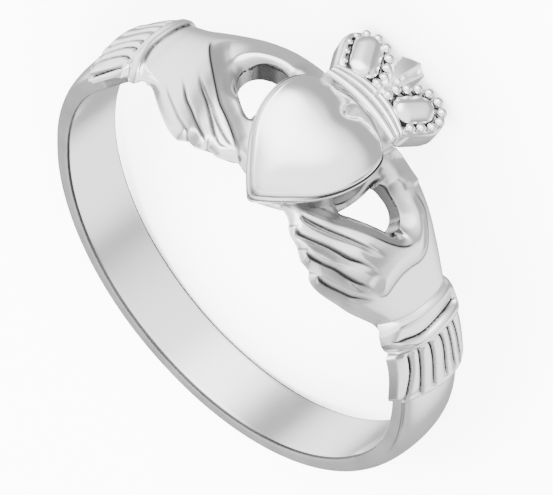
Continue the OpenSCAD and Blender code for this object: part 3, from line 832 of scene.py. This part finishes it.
def cuff(side, name):
    """Cuff with its collar and its pleated frill, which ends over the band."""
    crest = hollow_r + hand_t * 0.36 + 0.1
    end_crest = bore_r + band_t + 0.55

    def collar_share(place_along):
        return ease((place_along - 7.75) / 0.2) * ease((9.62 - place_along) / 0.14)

    def edges(along):
        flare = ease((along - 9.3) / 3.2)
        frill = ease((along + near_bow - 9.50) / 0.25)
        widening = np.interp(along + near_bow, *np.array(collar_widening).T)
        corner = 0.35 * np.clip((along - frill_end + 0.85) / 0.45, 0, 1) ** 2
        near = wrist_near - widening - frill * (frill_out + 0.14 * flare) + corner
        if side == -1:
            near = near + left_tuck * ease((8.42 - along) / 0.08)
        return near, wrist_far + 0.1 + 0.2 * flare, flare

    def frill_edge(b):
        return (frill_end + 0.46 * ease(b / 0.75) - 0.40 * np.clip(1 - b / 0.12, 0, 1) ** 2
                - 0.40 * np.clip((b - 0.88) / 0.12, 0, 1) ** 2)

    def flat(a, b):
        along = cuff_from[side] + a * (frill_edge(b) - cuff_from[side])
        near, far, _ = edges(along)
        return along, near + b * (far - near)

    def lay_out(along, across):
        near, far, flare = edges(along)
        b = np.clip((across - near) / (far - near), 0, 1)
        bow = 0.13 * np.maximum(-1.0 - across, 0) ** 2 + 0.05 * np.maximum(across, 0) ** 2
        place_along = along + bow
        if side == -1:
            place_along = place_along - left_slant * (across + 1.2) * ease((10.3 - along) / 0.8)
        collar = collar_share(place_along)
        near_crease = np.clip(1 - np.abs(place_along - 8.85) / 0.6, 0, 1)
        sag = 0.17 * np.exp(-((across + 1.5) / 0.9) ** 2) * near_crease
        height = arch(hollow_r + hand_t * 0.22, crest, hollow_r + hand_t * 0.14, b)
        height = height - (crest - end_crest) * flare
        apart = ease((across - near - 0.1) / 1.0) * ease((far - across - 0.05) / 0.35)
        if side == -1:
            apart = np.ones(along.shape)
        rolls = roll_points if side == 1 else left_roll_points
        height = height + apart * roll_curve(place_along - sag, rolls)
        height = height + (1 - apart) * roll_curve(place_along, roll_end_points)
        # painted shade in the crease, along the wrist's line, between the rolls and along the frill's top
        near_fade = 1 if side == 1 else ease((across + 2.4) / 0.5)
        to_crease = place_along - sag - collar_crease[side]
        dark = painted_line_shade(to_crease, 0.035) * ease(3 * apart) * ease((far - across - 0.12) / 0.2) * near_fade
        if side == 1:
            at_wrist = painted_line_shade(place_along - wrist_line, 0.035) * ease((-1.5 - across) / 0.9)
            shaded = np.exp(-((place_along - 8.5) / 0.3) ** 2) * ease((across + 0.6) / 0.7)
            dark = np.maximum(dark, np.maximum(0.7 * at_wrist, 0.28 * shaded))
        frill_top = np.exp(-((place_along - frill_line) / 0.045) ** 2)
        strength = (0.3 + 0.6 * ease((-1.7 - across) / 0.6)) * (1 if side == 1 else 0.5)
        dark = np.maximum(dark, strength * frill_top)
        # pleats
        trench = np.zeros(along.shape)
        for points in pleat_lines[side]:
            distance, _, share = nearest(along, across, smooth_line(points))
            trench = np.maximum(trench, cusp(distance / pleat_half_w))
            # painted shade: a dark line in each pleat
            dark = np.maximum(dark, painted_line_shade(distance, 0.034) * ease(share / 0.05) * ease((1 - share) / 0.15))
        height = height - pleat_depth * trench * ease((place_along - 9.55) / 0.2)
        # rounded end over the band, rounded collar ends and a flat facet along the frill
        to_end = np.maximum(frill_edge(b) - along, 0)
        height = height - 0.9 * round_over(to_end, 0.28)
        facet = facet_drop * np.clip(1 - (across - near) / facet_w, 0, 1)
        end_drop = 0.34 * np.clip(1 - (across - near) / 0.8, 0, 1) ** 2.2
        height = height - collar * end_drop - (1 - collar) * facet
        height = height - 0.8 * round_over(far - across, 0.2)
        under = bore_r + cuff_floor + (side == -1) * left_floor_rise * ease((8.7 - along) / 0.25)
        inset = (-1.25 - near) * (1 - b) ** 2 - 0.45 * b ** 4
        top = on_ring(along, across, np.maximum(height, under + cuff_wall), side)
        return top, on_ring(np.minimum(along, frill_end - 0.1), across + inset, under, side), dark

    finish_piece(name, thicken(plate(*cuff_grid, flat), lay_out), sharp_deg=70)


cuff(1, "right_cuff")
cuff(-1, "left_cuff")


# Heart

heart_tip_y = -5.0
heart_half = [(0.45, -4.74), (0.98, -4.28), (1.64, -3.6), (2.08, -2.86), (2.31, -2.07), (2.35, -1.29),
              (2.17, -0.52), (1.8, -0.02), (1.35, 0.27), (0.9, 0.36), (0.48, 0.3), (0.16, 0.16)]
heart_outline = [(0, heart_tip_y)] + heart_half + [(0, 0.08)] + [(-x, y) for x, y in reversed(heart_half)]
heart_middle_y = -1.7
heart_lobes_y = -0.14
# Rings of the heart's wall from its foot up: length as a share of the face's, height
heart_wall = [(0.85, 9.87), (0.89, 10.4), (0.94, 11.0)]
# Rim round the face: how far it stands out, its depth under the face's edge and its line's painted shade
heart_rim = [(-0.06, 0.75, 0), (0.03, 0.42, 0), (0.085, 0.30, 0), (0.10, 0.22, 0), (0.085, 0.175, 0),
             (0.05, 0.165, 1.0), (-0.02, 0.13, 1.0)]
# The rim's first rows, which take the wall's painted shade
heart_rim_low = 3
heart_rim_r = 12.58
heart_high_y = -1.55
heart_bend = 1.12
heart_dome = 0.36
heart_rim_round = 0.10


def rim_height(x, y):
    """Height of the heart's rim over the finger axis, with the dip of its notch."""
    bend = (y - heart_high_y) / (heart_high_y - heart_tip_y)
    notch = 0.42 * np.exp(-(x / 0.26) ** 2) * ease((y + 0.75) / 1.0)
    return heart_rim_r - heart_bend * bend ** 2 * np.where(y > heart_high_y, 1.6, 1) - notch


def pillow(points, outline):
    """Smooth share of the dome's height: 0 on the outline and 1 deep inside it."""
    following = np.roll(outline, -1, axis=0)
    step = np.hypot(*(following - outline).T)
    middle = (outline + following) / 2
    gap = np.hypot(points[:, None, 0] - middle[None, :, 0], points[:, None, 1] - middle[None, :, 1])
    depth = np.sqrt(2 / np.sum(step / np.maximum(gap, 0.02) ** 3, axis=1))
    share = np.clip(depth / 1.45, 0, 1)
    return 1 - (1 - share) ** 2.3


def heart():
    """Heart with its foot, its rim and its domed face, skinned over rings."""
    outline = smooth_loop(heart_outline, 8)
    centre = np.array([0, heart_middle_y])
    reach = np.hypot(*(outline - centre).T)[:, None]
    rings = []
    for size, height in heart_wall:
        y = heart_lobes_y + (outline[:, 1] - heart_lobes_y) * size
        rings.append(np.stack([outline[:, 0] * (0.96 + 0.04 * size), y, np.full(len(y), height)], -1))
    notch = np.exp(-(outline[:, :1] / 0.6) ** 2) * ease((outline[:, 1:] + 0.6) / 0.5)
    round_r = heart_rim_round * (1 - 0.75 * notch)
    for out, depth, _ in heart_rim:
        p = centre + (outline - centre) * (1 + np.minimum(out, out * (1 - notch)) / reach)
        rings.append(np.column_stack([p, rim_height(p[:, 0], p[:, 1]) - depth]))
    for turn in np.radians([0, 20, 40, 60, 80]):
        p = centre + (outline - centre) * (1 - round_r * (1 - math.cos(turn)) / reach)
        drop = round_r[:, 0] * (1 - math.sin(turn))
        rings.append(np.column_stack([p, rim_height(p[:, 0], p[:, 1]) - drop]))
    edge = centre + (outline - centre) * (1 - round_r / reach)
    for size in np.concatenate([[1, 0.985, 0.97, 0.95], np.linspace(0.92, 0.03, 32)]):
        p = centre + (edge - centre) * size
        valley = 0.13 * np.exp(-(p[:, 0] / 0.42) ** 2) * ease((p[:, 1] + 1.6) / 1.8)
        height = rim_height(p[:, 0], p[:, 1]) + heart_dome * pillow(p, edge) - valley
        rings.append(np.column_stack([p, height]))
    bm = rings_solid(rings)
    crease = bm.verts.layers.float["crease"]
    bm.verts.ensure_lookup_table()
    # the painted dark line between rim and face fades out at the tip
    line = ease((outline[:, 1] - heart_tip_y - 0.5) / 1.2) * (0.75 + 0.25 * ease((outline[:, 0] + 0.5) / 1.0))
    # painted shade on the left of the heart's wall and rim above the tip, at the notch, and on the right wall
    shade = 0.35 * ease((0.2 - outline[:, 0]) / 0.8) * ease((outline[:, 1] + 4.2) / 1.2)
    shade = np.maximum(shade, 0.5 * notch[:, 0])
    wall_shade = 0.55 * ease((outline[:, 0] - 0.9) / 0.6) * ease((0.2 - outline[:, 1]) / 0.6)
    rim_start = len(heart_wall)
    for k in range(rim_start + heart_rim_low):
        fade = 1 if k < rim_start + 1 else 0.6
        for i in range(len(outline)):
            bm.verts[k * len(outline) + i][crease] = max(float(wall_shade[i]) * fade, float(shade[i]))
    for k, (_, _, dark) in list(enumerate(heart_rim))[heart_rim_low:]:
        for i in range(len(outline)):
            bm.verts[(rim_start + k) * len(outline) + i][crease] = max(dark * float(line[i]), float(shade[i]))
    finish_piece("heart", bm, sharp_deg=50)


heart()


# Crown

def crown_place():
    """Where the crown's face lies, with its lean."""
    return Matrix.Translation((0, crown_y, crown_face_r)) @ Matrix.Rotation(math.radians(-crown_lean), 4, "X")


def leaf_seat(side):
    """Where a leaf lies on the crown's face."""
    x, y = leaf_middle
    return Matrix.Translation((side * x, y, 0)) @ Matrix.Rotation(math.radians(-side * leaf_lean), 4, "Z")


def foot_edges(x):
    """The foot's edge towards the heart and its edge towards the leaves."""
    bow = (x / foot_half) ** 2
    return 0.38 - 0.20 * bow, 1.57 - 0.54 * bow


stadium_sides = 64


def stadium(length, width, count=stadium_sides):
    """Outline with straight sides and round ends."""
    half = (length - width) / 2
    points = []
    for k in range(count):
        a = 2 * math.pi * k / count
        x, y = math.cos(a) * width / 2, math.sin(a) * width / 2
        points.append((x, y + (half if y > 0 else -half if y < 0 else 0)))
    return np.array(points)


def leaf(side, name):
    """Side leaf of the crown, its oval, and the beads round the oval."""
    place_it = crown_place() @ leaf_seat(side)
    full_len, full_w = ring_len + leaf_margin, oval_w + 2 * ring_gap + leaf_margin
    shoulder = {1: 0.14, -1: 0.26}[side]

    def outline(inset, height):
        return at_height(stadium(full_len - inset, full_w - inset), height)

    rings = [outline(0.50, -crown_t), outline(0.22, -crown_t + 0.06), outline(0.10, -crown_t + 0.22),
             outline(0.06, -crown_t + 0.26)]
    for turn in np.radians([0, 15, 30, 45, 60, 75, 90]):
        ring = outline(2 * shoulder * (1 - math.cos(turn)), -0.12 - 1.2 * shoulder * (1 - math.sin(turn)))
        if side == -1:
            ring[:, 2] += 0.10 * ease(-2 * ring[:, 0] / full_w)
        rings.append(ring)
    # floor of the beads' seat, with painted shade along its edge
    seat_start = len(rings) * stadium_sides
    rings.append(at_height(stadium(ring_len - 0.22, oval_w + 0.30), -0.17))
    rings.append(at_height(stadium(0.9, 0.1), -0.17))
    bm = rings_solid(rings)
    crease = bm.verts.layers.float["crease"]
    bm.verts.ensure_lookup_table()
    for vert in bm.verts[seat_start:seat_start + stadium_sides]:
        vert[crease] = 0.75
    bmesh.ops.transform(bm, matrix=place_it, verts=bm.verts)
    finish_piece(name + "_leaf", bm, sharp_deg=50)

    # oval, a smooth dome with a soft fold along its inner side, with painted shade in its lowest three rings
    length, width = oval_len[side], oval_w
    oval_foot = stadium(length + 0.06, width + 0.06)
    rings = [at_height(oval_foot, -0.3), at_height(oval_foot, -0.10)]
    for size in np.concatenate([np.sin(np.radians([90, 80, 70, 60])), np.linspace(0.82, 0.04, 18)]):
        ring = at_height(stadium(length - width * (1 - size), width * size), 0.0)
        across = ring[:, 0] * -side / (width / 2)
        fold = np.where(across > 0.22, 1 - ((across - 0.22) / 0.78) ** 1.15,
                        1 - ((0.22 - across) / 1.22) ** 1.7)
        rise = 0.13 * math.sqrt(1 - min(size, 1) ** 4)
        ring[:, 2] = -0.08 + rise + 0.20 * np.clip(fold, 0, 1) * (1 - size ** 4)
        rings.append(ring)
    bm = rings_solid(rings)
    bmesh.ops.transform(bm, matrix=Matrix.Translation((0, oval_shift[side], 0)), verts=bm.verts)
    crease = bm.verts.layers.float["crease"]
    bm.verts.ensure_lookup_table()
    for vert in bm.verts[:3 * stadium_sides]:
        vert[crease] = 1.0
    bmesh.ops.transform(bm, matrix=place_it, verts=bm.verts)
    finish_piece(name + "_oval", bm, sharp_deg=40)

    # beads round the oval, as far as the foot; worn away along the outer side of the left leaf
    bm = bmesh.new()
    bm.verts.layers.float.new("crease")
    track = stadium(ring_len, oval_w + 2 * ring_gap, 400)
    for x, y in evenly(np.vstack([track, track[:1]]), beads_round + 1)[:-1]:
        seat = leaf_seat(side) @ Vector((x, y, 0))
        under_foot = seat.y < foot_edges(seat.x)[1] + 0.04
        if under_foot or abs(seat.x) < 0.04 + 0.15 * (seat.y - middle_leaf_root):
            continue
        worn = float(ease(-2 * x / oval_w)) if side == -1 else 0.0
        radius = bead_d / 2 * (1 - 0.35 * worn)
        bead = bmesh.ops.create_uvsphere(bm, u_segments=20, v_segments=12, radius=radius)
        middle = Matrix.Translation((x * (1 - 0.08 * worn), y, -0.05 - 0.06 * worn))
        bmesh.ops.transform(bm, matrix=middle, verts=bead["verts"])
    crease = bm.verts.layers.float["crease"]
    # painted shade on the beads' undersides
    for vert in bm.verts:
        vert[crease] = 0.95 * float(ease((-0.04 - vert.co.z) / 0.09))
    bmesh.ops.transform(bm, matrix=place_it, verts=bm.verts)
    finish_piece(name + "_beads", bm, sharp_deg=80)


def middle_leaf():
    """Folded leaf with a ridge that runs from its root to the right of its straight top."""
    rings = []
    for share in np.linspace(0, 1, 17):
        y = middle_leaf_root + share * (middle_leaf_top - middle_leaf_root)
        half = 0.12 + 0.43 * share ** 1.1
        ridge = 0.20 + 0.26 * share
        ridge_x = -0.02 + 0.20 * share ** 1.5
        low = -0.02 + 0.06 * share
        rest = half - ridge_x
        section = [(-half * 0.85, -crown_t * 0.8), (half * 0.85, -crown_t * 0.8), (half, low - 0.15),
                   (half, low + 0.3 * ridge * share), (ridge_x + 0.75 * rest, low + 0.36 * ridge * share),
                   (ridge_x + 0.5 * rest, low + ridge * (0.34 - 0.2 * share)),
                   (ridge_x + 0.22 * rest, low + 0.62 * ridge),
                   (ridge_x + 0.02, low + ridge), (ridge_x - 0.03, low + ridge),
                   (ridge_x - 0.3 * (half + ridge_x), low + 0.76 * ridge), (-0.6 * half, low + 0.36 * ridge),
                   (-half, low), (-half, low - 0.15)]
        rings.append(np.array([(x, y, z) for x, z in section]))
    bm = rings_solid(rings)
    bmesh.ops.transform(bm, matrix=crown_place(), verts=bm.verts)
    finish_piece("crown_middle_leaf", bm, sharp_deg=32)


# The foot's three rolls from the heart's side: where each starts and ends across it, and its height
foot_rolls = [(0.0, 0.44, 0.24), (0.44, 0.73, 0.17), (0.73, 1.0, 0.15)]
foot_grid = (120, 64)
# The neck's half width, its edge under the heart's notch and its length from there
neck_half, neck_near, neck_length = 1.75, -0.75, 2.05
neck_grid = (110, 70)


def crown_foot():
    """Foot of the crown, with three rolls across it."""
    def flat(a, b):
        x = (2 * a - 1) * foot_half
        near, far = foot_edges(x)
        return x, near + b * (far - near)

    def lay_out(x, y):
        near, far = foot_edges(x)
        b = np.clip((y - near) / (far - near), 0, 1)
        height = -0.08 - 0.10 * (x / foot_half) ** 2
        dark = np.zeros(x.shape)
        for start, stop, rise in foot_rolls:
            t = np.clip((b - start) / (stop - start), 0, 1)
            height = height + rise * (1 - np.abs(2 * t - 1) ** 2.4) ** 0.6
            # painted shade: a dark line at the far edge of each roll
            dark = np.maximum(dark, 0.8 * np.exp(-((b - stop) / 0.03) ** 2))
        end = 0.10 + 0.12 * (b < foot_rolls[0][1])
        height = height - round_over(np.maximum(foot_half - np.abs(x), 0), 0.10) * (1 + end)
        under = np.stack([x * 0.98, y, np.full(x.shape, -crown_t)], -1)
        return np.stack([x, y, height], -1), under, dark

    # painted shade on the foot's sides and underside
    bm = thicken(plate(*foot_grid, flat), lay_out, under_shade=0.5)
    bmesh.ops.transform(bm, matrix=crown_place(), verts=bm.verts)
    finish_piece("crown_foot", bm, sharp_deg=55)


def neck():
    """Smooth surface from the heart's notch down to the crown's foot."""
    def flat(a, b):
        return (2 * a - 1) * neck_half, neck_near + neck_length * b

    def lay_out(x, y):
        ridge = np.exp(-((x + 0.22) / 0.16) ** 2)
        height = neck_r - 0.10 * np.maximum(y, 0) - 0.42 * (x / 1.5) ** 2
        height = height + 0.10 * ridge * ease((1.0 - y) / 0.8)
        to_foot = crown_y + foot_edges(x)[0] - y
        # painted shade: dark where the neck meets the foot, and on both sides of its ridge
        sides = 0.30 * ease((x + 0.1) / 0.3) + 0.25 * ease((-0.5 - x) / 0.4)
        dark = np.maximum(0.95 * np.exp(-(to_foot / 0.16) ** 2), sides)
        under = np.stack([x * 0.95, y, np.full(x.shape, hollow_r + 0.02)], -1)
        return np.stack([x, y, height], -1), under, dark

    finish_piece("neck", thicken(plate(*neck_grid, flat), lay_out, under_shade=0.5), sharp_deg=60)


leaf(1, "crown_right")
leaf(-1, "crown_left")
middle_leaf()
crown_foot()
neck()


# Studio

room_light = 13


def studio_floor():
    """White floor that the silver doesn't mirror."""
    bm = bmesh.new()
    bmesh.ops.create_grid(bm, x_segments=1, y_segments=1, size=0.6)
    mesh = bpy.data.meshes.new("floor")
    bm.to_mesh(mesh)
    bm.free()
    floor = bpy.data.objects.new("floor", mesh)
    bpy.context.scene.collection.objects.link(floor)
    paint = bpy.data.materials.new("floor_paint")
    paint.use_nodes = True
    shader = paint.node_tree.nodes["Principled BSDF"]
    shader.inputs["Base Color"].default_value = (0.95, 0.95, 0.95, 1)
    shader.inputs["Roughness"].default_value = 0.9
    shader.inputs["Specular IOR Level"].default_value = 0.1
    floor.data.materials.append(paint)
    floor.visible_glossy = False


# What the silver mirrors: soft areas of a light tent, each with the compass angle and the height
# of its middle, the half angle where it is full, the half angle where it ends, and its light
tent_light = 0.9
tent_areas = [
    ("broad front", -88, 22, 30, 82, 3.4),
    ("key", -58, 8, 14, 42, 8.0),
    ("low front", -85, -75, 10, 32, 0.85),
    ("left side", 172, -36, 16, 40, 3.0),
    ("right side", 18, -12, 13, 38, 3.6),
    ("back", 85, -5, 18, 42, 0.6),
    ("strip", -147, -10, 6, 16, 0.55),
    ("dark roof", 60, 75, 22, 42, 0.09),
    ("dark back", 130, 40, 18, 34, 0.12),
]


def area_group():
    """One soft area of light on the tent: full inside its inner cosine, gone past its outer one."""
    group = bpy.data.node_groups.new("tent_area", "ShaderNodeTree")
    add_sockets(group, "INPUT", ["Under", "Inner", "Outer", "Light"])
    add_sockets(group, "INPUT", ["Middle"], "NodeSocketVector")
    add_sockets(group, "OUTPUT", ["Light"])
    nodes, links = group.nodes, group.links
    inside, outside = nodes.new("NodeGroupInput"), nodes.new("NodeGroupOutput")
    where = nodes.new("ShaderNodeTexCoord")
    near = nodes.new("ShaderNodeVectorMath")
    near.operation = "DOT_PRODUCT"
    links.new(where.outputs["Generated"], near.inputs[0])
    links.new(inside.outputs["Middle"], near.inputs[1])
    soft = nodes.new("ShaderNodeMapRange")
    soft.interpolation_type = "SMOOTHSTEP"
    links.new(near.outputs["Value"], soft.inputs["Value"])
    links.new(inside.outputs["Outer"], soft.inputs["From Min"])
    links.new(inside.outputs["Inner"], soft.inputs["From Max"])
    blend = nodes.new("ShaderNodeMix")
    links.new(soft.outputs["Result"], blend.inputs["Factor"])
    links.new(inside.outputs["Under"], blend.inputs["A"])
    links.new(inside.outputs["Light"], blend.inputs["B"])
    links.new(blend.outputs["Result"], outside.inputs["Light"])
    return group


def studio_world():
    """White all round for the floor, and the light tent for what the silver mirrors."""
    world = bpy.data.worlds.new("studio")
    bpy.context.scene.world = world
    world.use_nodes = True
    nodes, links = world.node_tree.nodes, world.node_tree.links
    open_sky = nodes["Background"]
    open_sky.inputs["Color"].default_value = (1, 1, 1, 1)
    open_sky.inputs["Strength"].default_value = room_light
    tent = nodes.new("ShaderNodeBackground")
    group = area_group()
    under = None
    for name, compass, height, inner, outer, light in tent_areas:
        area = nodes.new("ShaderNodeGroup")
        area.node_tree = group
        area.label = name
        turn, lift = math.radians(compass), math.radians(height)
        level = math.cos(lift)
        area.inputs["Middle"].default_value = (math.cos(turn) * level, math.sin(turn) * level,
                                               math.sin(lift))
        area.inputs["Inner"].default_value = math.cos(math.radians(inner))
        area.inputs["Outer"].default_value = math.cos(math.radians(outer))
        area.inputs["Light"].default_value = light
        if under is None:
            area.inputs["Under"].default_value = tent_light
        else:
            links.new(under.outputs["Light"], area.inputs["Under"])
        under = area
    links.new(under.outputs["Light"], tent.inputs["Strength"])
    path = nodes.new("ShaderNodeLightPath")
    choose = nodes.new("ShaderNodeMixShader")
    links.new(path.outputs["Is Glossy Ray"], choose.inputs["Fac"])
    links.new(open_sky.outputs[0], choose.inputs[1])
    links.new(tent.outputs[0], choose.inputs[2])
    links.new(choose.outputs[0], nodes["World Output"].inputs["Surface"])


def camera():
    """Camera at the photograph's angle to the ring, with places and directions in the ring's frame."""
    spot = Vector((36.6, -135.5, 235.8))
    right = Vector((0.67950, 0.67561, 0.28606))
    down = Vector((0.72173, -0.54546, -0.42612))
    turn = RING.to_3x3().normalized()
    right, down = (turn @ right).normalized(), (turn @ down).normalized()
    back = right.cross(-down)
    lens = bpy.data.cameras.new("camera")
    lens.sensor_width = 36
    lens.lens = 464.3
    lens.clip_start = 0.01
    lens.clip_end = 10
    view = bpy.data.objects.new("camera", lens)
    view.matrix_world = Matrix.Translation(RING @ spot) @ Matrix((right, -down, back)).transposed().to_4x4()
    bpy.context.scene.collection.objects.link(view)
    bpy.context.scene.camera = view


studio_floor()
studio_world()
camera()
